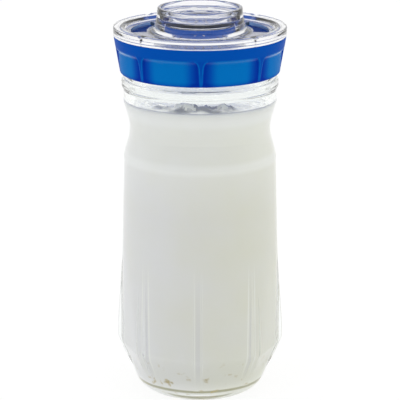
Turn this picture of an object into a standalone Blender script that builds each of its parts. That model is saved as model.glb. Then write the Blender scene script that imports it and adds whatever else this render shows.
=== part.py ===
"""A kefir fermentation jar: pressed glass jar, strainer cap, clear cover and measuring cap.

Metres, +Z up. The jar stands on the plane z = 0 with its axis on the Z axis, and -Y is the front.
Every piece is turned about that axis. The cap screws on with a right-hand thread, and the cover and
the measuring cap push in and turn.
"""

import math

import bmesh
import bpy
from mathutils import Matrix, Vector

MM = 0.001
OBJECT_NAME = "kefir_fermentation_jar"

# Driving sizes of the glass jar
JAR_HEIGHT = 189.0 * MM
GLASS_WALL = 3.1 * MM
BASE_THICKNESS = 5.5 * MM
PUNT_RISE = 2.6 * MM
PUNT_SLOPE_WIDTH = 5.2 * MM
FOOT_WIDTH = 2.2 * MM
HEEL_ROUND = 12.0 * MM
INNER_HEEL_ROUND = 8.0 * MM
TAPER_ANGLE = math.radians(22.8)
CORNER_HEIGHT = 25.6 * MM
BODY_RADIUS_LOW = 42.9 * MM
BODY_RADIUS_MID = 42.2 * MM
BODY_RADIUS_TOP = 40.85 * MM
RING_RADIUS = 41.15 * MM
RING_STEP = 2.4 * MM
NECK_RADIUS = 40.9 * MM
BEAD_RADIUS = 41.85 * MM
BEAD_ROUND = 2.0 * MM
BEAD_BELOW_CAP = 2.6 * MM
SHOULDER_BELOW_BEAD = 11.1 * MM
WAIST_BELOW_BEAD = 25.1 * MM
RING_BELOW_BEAD = 40.6 * MM
WAIST_DEPTH = 4.1 * MM
WAIST_ROUND = 22.0 * MM
MOUTH_RADIUS = 38.4 * MM
LIP_ROUND = 1.2 * MM
GLASS_EDGE = 0.6 * MM
GLASS_FILLET = 4.0 * MM
GLASS_BLEND = 8.0 * MM
GLASS_SWELL = 60.0 * MM

# Driving sizes of the ribs and the flat panels between them
RIB_COUNT = 8
RIB_TOP_HEIGHT = 82.0 * MM
RIB_FULL_HEIGHT = 36.0 * MM
RIB_END_HEIGHT = 0.8 * MM
RIB_WIDTH = 4.9 * MM
RIB_HEIGHT = 2.2 * MM
RIB_HEIGHT_ON_TAPER = 0.9 * MM
RIB_EDGE = 0.7 * MM
PANEL_TOP_HEIGHT = 72.0 * MM
PANEL_DEPTH = 2.0 * MM
PANEL_RUN_OUT = 10.0 * MM

# Driving sizes of the thread, which the glass and the cap share
THREAD_STARTS = 2
THREAD_LEAD = 10.0 * MM
THREAD_SWEEP = math.radians(200.0)
THREAD_HEIGHT = 1.4 * MM
THREAD_ROOT_WIDTH = 2.4 * MM
THREAD_CREST_WIDTH = 1.0 * MM
THREAD_BELOW_RIM = 2.6 * MM
THREAD_RUN_OUT = math.radians(14.0)

# Driving sizes of the strainer cap
CAP_WALL = 2.4 * MM
CAP_FLARE = 3.3 * MM
CAP_SKIRT = 14.5 * MM
CAP_BAND = 5.7 * MM
CAP_STEP = 1.1 * MM
CAP_EDGE_ROUND = 1.6 * MM
DECK_THICKNESS = 1.8 * MM
WELL_DEPTH = 3.5 * MM
WELL_RIM_WIDTH = 3.4 * MM
GRIP_COUNT = 8
GRIP_WIDTH = 3.0 * MM
GRIP_EDGE = 0.5 * MM
GRIP_CLOCKING = math.radians(2.3)
SLOT_FIELD_SWEEP = math.radians(104.0)
OUTER_SLOT_COUNT = 8
OUTER_SLOT_START = 18.0 * MM
OUTER_SLOT_LENGTH = 14.0 * MM
INNER_SLOT_COUNT = 4
INNER_SLOT_START = 5.5 * MM
INNER_SLOT_LENGTH = 9.0 * MM
FINE_SLOT_WIDTH = 1.0 * MM
COARSE_SLOT_WIDTH = 1.8 * MM

# Driving sizes of the clear cover. The windows' angle is measured from the back of the jar
COVER_RIM_HEIGHT = 4.7 * MM
COVER_RIM_LAND = 5.0 * MM
COVER_RIM_CROWN = 1.4 * MM
COVER_RIM_FOOT = 0.6 * MM
COVER_OVERHANG = 0.2 * MM
COVER_WALL = 1.8 * MM
COVER_CLOCKING = math.radians(1.6)
WINDOW_FROM_BACK = math.radians(73.0)
WINDOW_SWEEP = math.radians(52.0)
WINDOW_MARGIN = 1.0 * MM
DISH_DEPTH = 2.7 * MM
DISH_SLOPE_WIDTH = 3.4 * MM
COLLAR_RADIUS = 23.0 * MM
COLLAR_HEIGHT = 4.5 * MM
COLLAR_WALL = 1.8 * MM
COLLAR_FLARE = 1.6 * MM
COLLAR_FOOT_WIDTH = 2.6 * MM
COLLAR_FOOT_HEIGHT = 1.8 * MM
COLLAR_TAIL = 0.8 * MM

# Driving sizes of the measuring cap
CUP_LAND = 0.75 * MM
CUP_WALL = 1.5 * MM
CUP_HEAD_HEIGHT = 5.2 * MM
CUP_HEAD_TAPER = 0.6 * MM
CUP_HEAD_WALL = 1.8 * MM
CUP_PLUG_PLAY = 0.7 * MM
O_RING_SECTION = 1.5 * MM
O_RING_BELOW_HEAD = 2.5 * MM

# Driving sizes of the two flat seals
GASKET_THICKNESS = 1.6 * MM
COVER_SEAL_THICKNESS = 1.0 * MM
COVER_SEAL_WIDTH = 3.0 * MM

# Rounds of the moulded plastic and the seals
CRISP_EDGE = 0.3 * MM
SOFT_EDGE = 0.6 * MM
MOULDED_FILLET = 2.0 * MM

# Clearance between pieces that touch, and how far a joined shape reaches into its neighbour
GAP = 0.3 * MM
SINK = 1.0 * MM

# How finely the turned shapes are cut. A round up to SMALL_ROUND is one flat chamfer
TURN_STEPS = 48
SMALL_TURN_STEPS = 32
ARC_STEP = math.radians(45.0)
SMALL_ROUND = 0.7 * MM
LARGEST_REACH = 0.96
MERGE = 0.01 * MM
PLACE_DIGITS = 7
FULL_TURN = 2.0 * math.pi

# Levels and radii that follow from the sizes above, from the glass rim upwards
GASKET_BOTTOM = JAR_HEIGHT + GAP
DECK_BOTTOM = GASKET_BOTTOM + GASKET_THICKNESS + GAP
DECK_TOP = DECK_BOTTOM + DECK_THICKNESS
CAP_TOP = DECK_TOP + WELL_DEPTH
BAND_BOTTOM = CAP_TOP - CAP_BAND
SKIRT_BOTTOM = DECK_BOTTOM - CAP_SKIRT
CAP_BORE = MOUTH_RADIUS + THREAD_HEIGHT + GAP
CAP_LOW_RADIUS = CAP_BORE + CAP_WALL
CAP_TOP_RADIUS = CAP_LOW_RADIUS + CAP_FLARE
WELL_RADIUS = CAP_TOP_RADIUS - WELL_RIM_WIDTH
COVER_RADIUS = CAP_TOP_RADIUS + COVER_OVERHANG
PLUG_RADIUS = WELL_RADIUS - GAP
COVER_SEAL_BOTTOM = DECK_TOP + GAP
PLUG_FOOT = COVER_SEAL_BOTTOM + COVER_SEAL_THICKNESS + GAP
COVER_FOOT = CAP_TOP + GAP
COVER_TOP = COVER_FOOT + COVER_RIM_HEIGHT
DISH_TOP = COVER_TOP - DISH_DEPTH
COLLAR_TOP = COVER_TOP + COLLAR_HEIGHT
COLLAR_BORE = COLLAR_RADIUS - COLLAR_WALL
HEAD_BOTTOM = COLLAR_TOP + GAP
CUP_TOP = HEAD_BOTTOM + CUP_HEAD_HEIGHT
O_RING_RADIUS = COLLAR_BORE - GAP - O_RING_SECTION / 2.0
O_RING_LEVEL = HEAD_BOTTOM - O_RING_BELOW_HEAD

# Levels and radii of the glass that follow from the cap above it
BEAD_LEVEL = SKIRT_BOTTOM - BEAD_BELOW_CAP - BEAD_ROUND
SHOULDER_LEVEL = BEAD_LEVEL - SHOULDER_BELOW_BEAD
WAIST_LEVEL = BEAD_LEVEL - WAIST_BELOW_BEAD
RING_LEVEL = BEAD_LEVEL - RING_BELOW_BEAD
WAIST_RADIUS = NECK_RADIUS - WAIST_DEPTH
MOUTH_BORE = MOUTH_RADIUS - GLASS_WALL
TAPER = math.tan(TAPER_ANGLE)
PANEL_RADIUS = BODY_RADIUS_LOW - PANEL_DEPTH
INNER_RADIUS = PANEL_RADIUS - GLASS_WALL
INNER_CORNER = CORNER_HEIGHT + GLASS_WALL * (1.0 / math.cos(TAPER_ANGLE) - 1.0) / TAPER
HEEL_CORNER = BODY_RADIUS_LOW - TAPER * CORNER_HEIGHT
FOOT_OUTER = HEEL_CORNER - HEEL_ROUND * math.tan((math.pi / 2.0 - TAPER_ANGLE) / 2.0)
FOOT_INNER = FOOT_OUTER - FOOT_WIDTH

# The cap's ridges sit under the glass ridges with the clearance measured across the sloping flanks
THREAD_FLANK = (THREAD_ROOT_WIDTH - THREAD_CREST_WIDTH) / 2.0 / THREAD_HEIGHT
THREAD_RISE = THREAD_LEAD * THREAD_SWEEP / FULL_TURN
THREAD_MEAN_WIDTH = (THREAD_ROOT_WIDTH + THREAD_CREST_WIDTH) / 2.0
THREAD_STEP = THREAD_MEAN_WIDTH - GAP * THREAD_FLANK + GAP * math.hypot(1.0, THREAD_FLANK)
GLASS_THREAD_LEVEL = JAR_HEIGHT - THREAD_BELOW_RIM - THREAD_RISE / 2.0
CAP_THREAD_LEVEL = GLASS_THREAD_LEVEL - THREAD_STEP


def clear_scene():
    for obj in list(bpy.data.objects):
        bpy.data.objects.remove(obj, do_unlink=True)


def new_collection(name):
    collection = bpy.data.collections.new(name)
    bpy.context.scene.collection.children.link(collection)
    return collection


clear_scene()
PARTS = new_collection(OBJECT_NAME)
CUTTERS = new_collection("cutters")


def new_material(name, color, roughness, transmission=0.0, ior=1.5):
    material = bpy.data.materials.new(name)
    material.use_nodes = True
    shader = material.node_tree.nodes["Principled BSDF"]
    shader.inputs["Base Color"].default_value = (*color, 1.0)
    shader.inputs["Roughness"].default_value = roughness
    shader.inputs["Metallic"].default_value = 0.0
    shader.inputs["Transmission Weight"].default_value = transmission
    shader.inputs["IOR"].default_value = ior
    material.diffuse_color = (*color, 1.0)
    return material


def add_object(name, mesh, collection, material=None):
    obj = bpy.data.objects.new(name, mesh)
    collection.objects.link(obj)
    if material is not None:
        mesh.materials.append(material)
    if collection is CUTTERS:
        obj.hide_render = True
        obj.display_type = "WIRE"
    return obj


def rounded(corners, closed=False):
    """Points of an outline of corners (radius, height, round), each round corner as an arc."""
    points = []
    count = len(corners)
    for index, (radius, height, fillet) in enumerate(corners):
        here = Vector((radius, height))
        at_an_end = not closed and index in (0, count - 1)
        if fillet <= 0.0 or at_an_end:
            points.append(here)
            continue
        previous = corners[index - 1]
        following = corners[(index + 1) % count]
        before = Vector(previous[:2]) - here
        after = Vector(following[:2]) - here
        half = before.angle(after) / 2.0
        room_before = LARGEST_REACH * before.length * fillet / (fillet + previous[2])
        room_after = LARGEST_REACH * after.length * fillet / (fillet + following[2])
        reach = min(fillet / math.tan(half), room_before, room_after)
        arc_radius = reach * math.tan(half)
        inward = (before.normalized() + after.normalized()).normalized()
        middle = here + inward * arc_radius / math.sin(half)
        spoke = here + before.normalized() * reach - middle
        sweep = math.pi - 2.0 * half
        if before.cross(after) > 0.0:
            sweep = -sweep
        steps = math.ceil(abs(sweep) / ARC_STEP) if arc_radius > SMALL_ROUND else 1
        for step in range(steps + 1):
            points.append(middle + Matrix.Rotation(sweep * step / steps, 2) @ spoke)
    return points


def turned(name, corners, collection, material=None, steps=TURN_STEPS, closed=False):
    """A turned piece, whose outline runs up its inner side, over its top and down its outer side."""
    mesh = bpy.data.meshes.new(name)
    builder = bmesh.new()
    chain = [builder.verts.new((point.x, 0.0, point.y)) for point in rounded(corners, closed)]
    for first, second in zip(chain[:-1], chain[1:]):
        builder.edges.new((first, second))
    if closed:
        builder.edges.new((chain[-1], chain[0]))
    builder.to_mesh(mesh)
    builder.free()
    obj = add_object(name, mesh, collection, material)
    screw = obj.modifiers.new("turn", "SCREW")
    screw.steps = steps
    screw.render_steps = steps
    screw.use_merge_vertices = True
    screw.merge_threshold = MERGE
    screw.use_smooth_shade = True
    return obj


def upright_slab(name, outer, inner, width, angle, edge_round):
    """A slab standing on a plane through the axis at this angle, for a rib.

    outer and inner hold the (radius, height) points of its two long edges, the outer one from its
    top down and the inner one from its foot up. Both sides of the outer edge are rounded."""
    mesh = bpy.data.meshes.new(name)
    builder = bmesh.new()
    outline = outer + inner
    flank = [builder.verts.new((radius, -width / 2.0, height)) for radius, height in outline]
    face = builder.faces.new(flank)
    grown = bmesh.ops.extrude_face_region(builder, geom=[face])
    far_side = [item for item in grown["geom"] if isinstance(item, bmesh.types.BMVert)]
    bmesh.ops.translate(builder, verts=far_side, vec=(0.0, width, 0.0))
    bmesh.ops.recalc_face_normals(builder, faces=builder.faces)
    outer_places = {place_of(radius, height) for radius, height in outer}
    edges = [
        edge
        for edge in builder.edges
        if all(place_of(vert.co.x, vert.co.z) in outer_places for vert in edge.verts)
        and abs(edge.verts[0].co.y - edge.verts[1].co.y) < MERGE
    ]
    bmesh.ops.bevel(
        builder, geom=edges, offset=edge_round, segments=2, profile=0.5, affect="EDGES"
    )
    bmesh.ops.rotate(builder, verts=builder.verts, matrix=Matrix.Rotation(angle, 3, "Z"))
    builder.to_mesh(mesh)
    builder.free()
    return add_object(name, mesh, CUTTERS)


def place_of(radius, height):
    """The point as a key, equal for points that differ only in their last bits."""
    return round(radius, PLACE_DIGITS), round(height, PLACE_DIGITS)


def thread_ridge(name, wall_radius, height, middle_level, start_angle):
    """One start of a right-hand thread on a wall. A negative height makes it stand inwards.

    It runs out into the wall at both ends."""
    mesh = bpy.data.meshes.new(name)
    builder = bmesh.new()
    steps = round(THREAD_SWEEP / (FULL_TURN / TURN_STEPS))
    side = math.copysign(1.0, height)
    sunk = wall_radius - side * SINK
    rings = []
    for step in range(steps + 1):
        along = THREAD_SWEEP * step / steps
        grown = min(1.0, along / THREAD_RUN_OUT, (THREAD_SWEEP - along) / THREAD_RUN_OUT)
        crest = wall_radius + height * grown - side * GAP * (1.0 - grown)
        middle = middle_level + THREAD_LEAD * (along - THREAD_SWEEP / 2.0) / FULL_TURN
        root_half = THREAD_ROOT_WIDTH / 2.0 + SINK * THREAD_FLANK
        crest_half = THREAD_CREST_WIDTH / 2.0 + (1.0 - grown) * abs(height) * THREAD_FLANK
        section = (
            (sunk, middle - root_half),
            (crest, middle - crest_half),
            (crest, middle + crest_half),
            (sunk, middle + root_half),
        )
        turn = Matrix.Rotation(start_angle + along, 3, "Z")
        rings.append([builder.verts.new(turn @ Vector((r, 0.0, z))) for r, z in section])
    for first, second in zip(rings[:-1], rings[1:]):
        for corner in range(4):
            after = (corner + 1) % 4
            builder.faces.new((first[corner], first[after], second[after], second[corner]))
    builder.faces.new(rings[0])
    builder.faces.new(rings[-1])
    bmesh.ops.recalc_face_normals(builder, faces=builder.faces)
    builder.to_mesh(mesh)
    builder.free()
    return add_object(name, mesh, CUTTERS)


def combine(obj, other, operation):
    boolean = obj.modifiers.new(f"{operation.lower()}_{other.name}", "BOOLEAN")
    boolean.operation = operation
    boolean.solver = "EXACT"
    boolean.object = other


def add_thread(obj, name, wall_radius, height, middle_level):
    for start in range(THREAD_STARTS):
        angle = FULL_TURN * start / THREAD_STARTS
        combine(obj, thread_ridge(f"{name}_{start}", wall_radius, height, middle_level, angle), "UNION")


def make_glass_jar():
    floor_edge = PANEL_RADIUS - TAPER * (CORNER_HEIGHT - BASE_THICKNESS)
    floor_edge -= GLASS_WALL / math.cos(TAPER_ANGLE)
    corners = [
        (0.0, BASE_THICKNESS + PUNT_RISE, 0.0),
        (floor_edge, BASE_THICKNESS, INNER_HEEL_ROUND),
        (INNER_RADIUS, INNER_CORNER, GLASS_BLEND),
        (BODY_RADIUS_TOP - GLASS_WALL, RING_LEVEL, GLASS_BLEND),
        (WAIST_RADIUS - GLASS_WALL, WAIST_LEVEL, WAIST_ROUND),
        (NECK_RADIUS - GLASS_WALL, SHOULDER_LEVEL, GLASS_BLEND),
        (NECK_RADIUS - GLASS_WALL, BEAD_LEVEL - BEAD_ROUND, GLASS_FILLET),
        (MOUTH_BORE, SKIRT_BOTTOM, GLASS_FILLET),
        (MOUTH_BORE, JAR_HEIGHT, LIP_ROUND),
        (MOUTH_RADIUS, JAR_HEIGHT, LIP_ROUND),
        (MOUTH_RADIUS, SKIRT_BOTTOM + GAP, GLASS_EDGE),
        (BEAD_RADIUS - BEAD_ROUND, BEAD_LEVEL + BEAD_ROUND, GLASS_EDGE),
        (BEAD_RADIUS, BEAD_LEVEL + BEAD_ROUND, BEAD_ROUND),
        (BEAD_RADIUS, BEAD_LEVEL - BEAD_ROUND, BEAD_ROUND),
        (NECK_RADIUS, BEAD_LEVEL - 2.0 * BEAD_ROUND, BEAD_ROUND),
        (NECK_RADIUS, SHOULDER_LEVEL, GLASS_BLEND),
        (WAIST_RADIUS, WAIST_LEVEL, WAIST_ROUND),
        (RING_RADIUS, RING_LEVEL, GLASS_EDGE),
        (BODY_RADIUS_TOP, RING_LEVEL - RING_STEP, RING_STEP),
        (BODY_RADIUS_MID, RIB_TOP_HEIGHT, GLASS_SWELL),
        (BODY_RADIUS_LOW, CORNER_HEIGHT, GLASS_FILLET),
        (HEEL_CORNER, 0.0, HEEL_ROUND),
        (FOOT_INNER, 0.0, GLASS_EDGE),
        (FOOT_INNER - PUNT_SLOPE_WIDTH, PUNT_RISE, GLASS_FILLET),
        (0.0, PUNT_RISE, 0.0),
    ]
    jar = turned("glass_jar", corners, PARTS, GLASS)
    combine(jar, make_panel_barrel(), "INTERSECT")
    for index in range(RIB_COUNT):
        combine(jar, make_glass_rib(index), "UNION")
    add_thread(jar, "glass_thread", MOUTH_RADIUS, THREAD_HEIGHT, GLASS_THREAD_LEVEL)
    return jar


def make_panel_barrel():
    """An eight-sided barrel. Its sides cut the flat panels, and it clears the glass above them."""
    lean = (BODY_RADIUS_MID - PANEL_RADIUS) / (PANEL_TOP_HEIGHT - CORNER_HEIGHT)
    flats_end = RIB_TOP_HEIGHT + PANEL_RUN_OUT
    clear_radius = BODY_RADIUS_LOW + RIB_TOP_HEIGHT
    flats = [
        (0.0, JAR_HEIGHT + SINK),
        (clear_radius, JAR_HEIGHT + SINK),
        (clear_radius, flats_end + SINK),
        (PANEL_RADIUS + lean * (flats_end - CORNER_HEIGHT), flats_end),
        (PANEL_RADIUS, CORNER_HEIGHT),
        (PANEL_RADIUS - TAPER * (CORNER_HEIGHT + SINK), -SINK),
        (0.0, -SINK),
    ]
    to_corner = 1.0 / math.cos(math.pi / RIB_COUNT)
    corners = [(radius * to_corner, height, 0.0) for radius, height in flats]
    return turned("panel_barrel", corners, CUTTERS, steps=RIB_COUNT)


def make_glass_rib(index):
    """A rib that rises out of the glass below the waist, stands proud at the corner and dies away
    on the rounded heel."""
    crest = BODY_RADIUS_LOW + RIB_HEIGHT
    corner_level = CORNER_HEIGHT + (RIB_HEIGHT - RIB_HEIGHT_ON_TAPER) / TAPER
    outer = rounded(
        [
            (BODY_RADIUS_MID - GAP, RIB_TOP_HEIGHT, 0.0),
            (crest, RIB_FULL_HEIGHT, GLASS_SWELL),
            (crest, corner_level, GLASS_FILLET),
            (crest - TAPER * (corner_level - RIB_END_HEIGHT), RIB_END_HEIGHT, HEEL_ROUND),
            (FOOT_OUTER, RIB_END_HEIGHT, 0.0),
        ]
    )
    embedded = PANEL_RADIUS - GLASS_WALL / 2.0
    inner = [
        (FOOT_OUTER, BASE_THICKNESS / 2.0),
        (embedded - TAPER * (CORNER_HEIGHT - BASE_THICKNESS), BASE_THICKNESS),
        (embedded, CORNER_HEIGHT),
        (BODY_RADIUS_MID - GLASS_WALL / 2.0, RIB_TOP_HEIGHT),
    ]
    angle = FULL_TURN * index / RIB_COUNT
    return upright_slab(f"glass_rib_{index}", [tuple(p) for p in outer], inner, RIB_WIDTH, angle, RIB_EDGE)


def cone_radius(level):
    """Radius of the cap's outer cone at this level."""
    share = (level - SKIRT_BOTTOM) / (CAP_TOP - SKIRT_BOTTOM)
    return CAP_LOW_RADIUS + CAP_FLARE * share


def make_strainer_cap():
    panel_top = BAND_BOTTOM - CAP_STEP
    corners = [
        (0.0, DECK_TOP, 0.0),
        (WELL_RADIUS, DECK_TOP, SOFT_EDGE),
        (WELL_RADIUS, CAP_TOP, CRISP_EDGE),
        (CAP_TOP_RADIUS, CAP_TOP, SOFT_EDGE),
        (cone_radius(BAND_BOTTOM), BAND_BOTTOM, SOFT_EDGE),
        (cone_radius(panel_top) - CAP_STEP, panel_top, SOFT_EDGE),
        (CAP_LOW_RADIUS, SKIRT_BOTTOM, CAP_EDGE_ROUND),
        (CAP_BORE, SKIRT_BOTTOM, CRISP_EDGE),
        (CAP_BORE, DECK_BOTTOM, CRISP_EDGE),
        (0.0, DECK_BOTTOM, 0.0),
    ]
    cap = turned("strainer_cap", corners, PARTS, BLUE_PLASTIC)
    for index in range(GRIP_COUNT):
        combine(cap, make_grip_rib(index), "UNION")
    sides = (("back", math.pi / 2.0, COARSE_SLOT_WIDTH), ("front", -math.pi / 2.0, FINE_SLOT_WIDTH))
    rings = (
        ("outer", OUTER_SLOT_COUNT, OUTER_SLOT_START, OUTER_SLOT_LENGTH),
        ("inner", INNER_SLOT_COUNT, INNER_SLOT_START, INNER_SLOT_LENGTH),
    )
    for side, middle, width in sides:
        for ring, count, start, length in rings:
            slots = make_slots(f"{side}_{ring}_slots", middle, count, start, length, width)
            combine(cap, slots, "DIFFERENCE")
    add_thread(cap, "cap_thread", CAP_BORE, -THREAD_HEIGHT, CAP_THREAD_LEVEL)
    return cap


def make_grip_rib(index):
    high_level = BAND_BOTTOM + GAP
    low_level = SKIRT_BOTTOM + CAP_EDGE_ROUND
    foot_level = SKIRT_BOTTOM + GAP
    embedded = CAP_BORE + CAP_WALL / 2.0
    outer = [
        (cone_radius(high_level), high_level),
        (cone_radius(low_level), low_level),
        (cone_radius(low_level) - CAP_EDGE_ROUND / 2.0, foot_level),
    ]
    inner = [(embedded, foot_level), (embedded, high_level)]
    angle = FULL_TURN * index / GRIP_COUNT + GRIP_CLOCKING
    return upright_slab(f"grip_rib_{index}", outer, inner, GRIP_WIDTH, angle, GRIP_EDGE)


def make_slots(name, middle_angle, count, start, length, width):
    """A field of radial slots through the deck, spread about this angle."""
    mesh = bpy.data.meshes.new(name)
    builder = bmesh.new()
    for index in range(count):
        slot = bmesh.ops.create_cube(builder, size=1.0)["verts"]
        bmesh.ops.scale(builder, verts=slot, vec=(length, width, DECK_THICKNESS + 2.0 * SINK))
        middle = (start + length / 2.0, 0.0, (DECK_BOTTOM + DECK_TOP) / 2.0)
        bmesh.ops.translate(builder, verts=slot, vec=middle)
        from_middle = ((index + 0.5) / count - 0.5) * SLOT_FIELD_SWEEP
        turn = Matrix.Rotation(middle_angle + from_middle, 3, "Z")
        bmesh.ops.rotate(builder, verts=slot, matrix=turn)
    builder.to_mesh(mesh)
    builder.free()
    return add_object(name, mesh, CUTTERS)


def make_clear_cover():
    """The rim stands on the cap with a sloping underside, and a thin plug goes down its well. The
    dished ring between the rim and the collar has the same wall all over, and two windows in it
    come over the slots when the cover is turned."""
    land_inner = COVER_RADIUS - COVER_RIM_LAND
    dish_outer = land_inner - DISH_SLOPE_WIDTH
    dish_inner = COLLAR_RADIUS + COLLAR_FLARE + COLLAR_FOOT_WIDTH
    dish_bottom = DISH_TOP - COVER_WALL
    plug_inner = PLUG_RADIUS - COVER_WALL
    slope = DISH_DEPTH / DISH_SLOPE_WIDTH
    slope_wall = COVER_WALL * math.hypot(1.0, slope)
    corners = [
        (COLLAR_BORE, COLLAR_TOP, CRISP_EDGE),
        (COLLAR_RADIUS, COLLAR_TOP, CRISP_EDGE),
        (COLLAR_RADIUS + COLLAR_FLARE, DISH_TOP + COLLAR_FOOT_HEIGHT, MOULDED_FILLET),
        (dish_inner, DISH_TOP, MOULDED_FILLET),
        (dish_outer, DISH_TOP, MOULDED_FILLET),
        (land_inner, COVER_TOP, SOFT_EDGE),
        (COVER_RADIUS, COVER_TOP, SOFT_EDGE),
        (COVER_RADIUS, COVER_FOOT, 0.0),
        (COVER_RADIUS - COVER_RIM_FOOT, COVER_FOOT, 0.0),
        (PLUG_RADIUS, COVER_TOP - COVER_RIM_CROWN, 0.0),
        (PLUG_RADIUS, PLUG_FOOT, CRISP_EDGE),
        (plug_inner, PLUG_FOOT, 0.0),
        (plug_inner, DISH_TOP + (plug_inner - dish_outer) * slope - slope_wall, 0.0),
        (dish_outer + (slope_wall - COVER_WALL) / slope, dish_bottom, MOULDED_FILLET),
        (COLLAR_RADIUS + COVER_WALL, dish_bottom, 0.0),
        (COLLAR_RADIUS, dish_bottom - COLLAR_TAIL, 0.0),
        (COLLAR_BORE, dish_bottom - COLLAR_TAIL, 0.0),
    ]
    cover = turned("clear_cover", corners, PARTS, CLEAR_PLASTIC, closed=True)
    back = math.pi / 2.0 + COVER_CLOCKING
    for side, turn in (("right", -WINDOW_FROM_BACK), ("left", WINDOW_FROM_BACK)):
        inner = dish_inner + WINDOW_MARGIN
        outer = dish_outer - WINDOW_MARGIN
        combine(cover, make_window(f"{side}_window", inner, outer, back + turn), "DIFFERENCE")
    return cover


def make_window(name, inner, outer, middle_angle):
    """A block in the shape of a piece of a ring, which cuts a window about this angle."""
    mesh = bpy.data.meshes.new(name)
    builder = bmesh.new()
    low = DISH_TOP - COVER_WALL - SINK
    high = DISH_TOP + SINK
    places = ((inner, low), (outer, low), (outer, high), (inner, high))
    face = builder.faces.new([builder.verts.new((radius, 0.0, level)) for radius, level in places])
    start = Matrix.Rotation(middle_angle - WINDOW_SWEEP / 2.0, 3, "Z")
    bmesh.ops.rotate(builder, verts=builder.verts, matrix=start)
    geometry = list(face.verts) + list(face.edges) + [face]
    steps = round(WINDOW_SWEEP / (FULL_TURN / TURN_STEPS))
    bmesh.ops.spin(
        builder, geom=geometry, axis=(0, 0, 1), cent=(0, 0, 0), angle=WINDOW_SWEEP, steps=steps
    )
    bmesh.ops.recalc_face_normals(builder, faces=builder.faces)
    builder.to_mesh(mesh)
    builder.free()
    return add_object(name, mesh, CUTTERS)


def make_measuring_cap():
    head_radius = COLLAR_RADIUS - CUP_HEAD_TAPER
    head_inner = head_radius - CUP_HEAD_WALL
    groove_radius = O_RING_RADIUS - O_RING_SECTION / 2.0 - GAP
    groove_half = O_RING_SECTION / 2.0 + GAP
    cup_inner = groove_radius - CUP_WALL
    plug = COLLAR_BORE - CUP_PLUG_PLAY
    cup_bottom = O_RING_LEVEL - groove_half - CUP_LAND
    floor_top = cup_bottom + CUP_WALL
    ledge = HEAD_BOTTOM + CUP_WALL
    corners = [
        (0.0, floor_top, 0.0),
        (cup_inner, floor_top, MOULDED_FILLET),
        (cup_inner, ledge, SOFT_EDGE),
        (head_inner, ledge, SOFT_EDGE),
        (head_inner, CUP_TOP, CRISP_EDGE),
        (head_radius, CUP_TOP, SOFT_EDGE),
        (COLLAR_RADIUS, HEAD_BOTTOM, CRISP_EDGE),
        (plug, HEAD_BOTTOM, CRISP_EDGE),
        (plug, O_RING_LEVEL + groove_half, 0.0),
        (groove_radius, O_RING_LEVEL + groove_half, 0.0),
        (groove_radius, O_RING_LEVEL - groove_half, 0.0),
        (plug, O_RING_LEVEL - groove_half, 0.0),
        (plug, cup_bottom, CRISP_EDGE),
        (0.0, cup_bottom, 0.0),
    ]
    return turned("measuring_cap", corners, PARTS, CLEAR_PLASTIC)


def turned_ring(name, inner, outer, bottom, thickness, fillet, material, steps=TURN_STEPS):
    corners = [
        (inner, bottom, fillet),
        (inner, bottom + thickness, fillet),
        (outer, bottom + thickness, fillet),
        (outer, bottom, fillet),
    ]
    return turned(name, corners, PARTS, material, steps, closed=True)


def make_mouth_gasket():
    inner = MOUTH_BORE
    outer = CAP_BORE - GAP
    turned_ring("mouth_gasket", inner, outer, GASKET_BOTTOM, GASKET_THICKNESS, CRISP_EDGE, SILICONE)


def make_cover_seal():
    inner = PLUG_RADIUS - COVER_SEAL_WIDTH
    thickness = COVER_SEAL_THICKNESS
    turned_ring("cover_seal", inner, PLUG_RADIUS, COVER_SEAL_BOTTOM, thickness, CRISP_EDGE, SILICONE)


def make_cup_o_ring():
    """The ring's round section is cut as a regular octagon."""
    half = O_RING_SECTION / 2.0
    octagon_cut = O_RING_SECTION / (2.0 + math.sqrt(2.0))
    inner = O_RING_RADIUS - half
    outer = O_RING_RADIUS + half
    bottom = O_RING_LEVEL - half
    steps = SMALL_TURN_STEPS
    turned_ring("cup_o_ring", inner, outer, bottom, O_RING_SECTION, octagon_cut, BLACK_RUBBER, steps)


GLASS = new_material("soda_lime_glass", (0.93, 0.96, 0.95), 0.02, 1.0, 1.52)
BLUE_PLASTIC = new_material("blue_polypropylene", (0.0, 0.107, 0.479), 0.32)
CLEAR_PLASTIC = new_material("clear_styrene", (0.97, 0.98, 0.99), 0.03, 1.0, 1.57)
SILICONE = new_material("white_silicone", (0.83, 0.84, 0.84), 0.5)
BLACK_RUBBER = new_material("black_rubber", (0.012, 0.012, 0.013), 0.45)

make_glass_jar()
make_strainer_cap()
make_clear_cover()
make_measuring_cap()
make_mouth_gasket()
make_cover_seal()
make_cup_o_ring()
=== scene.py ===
# %% [markdown]
# # A kefir fermentation jar
#
# The jar is pressed soda-lime glass. A blue strainer cap screws onto it, a clear cover pushes onto
# the cap, and a small clear cup closes the cover's collar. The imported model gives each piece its
# place and size. This lesson replaces the pieces that show with finer ones, fills the jar with
# kefir, and lights it softly in front of white.

# %% Load the fixed frame
import math

import bpy
import numpy as np
from mathutils import Matrix, Vector, noise


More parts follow.
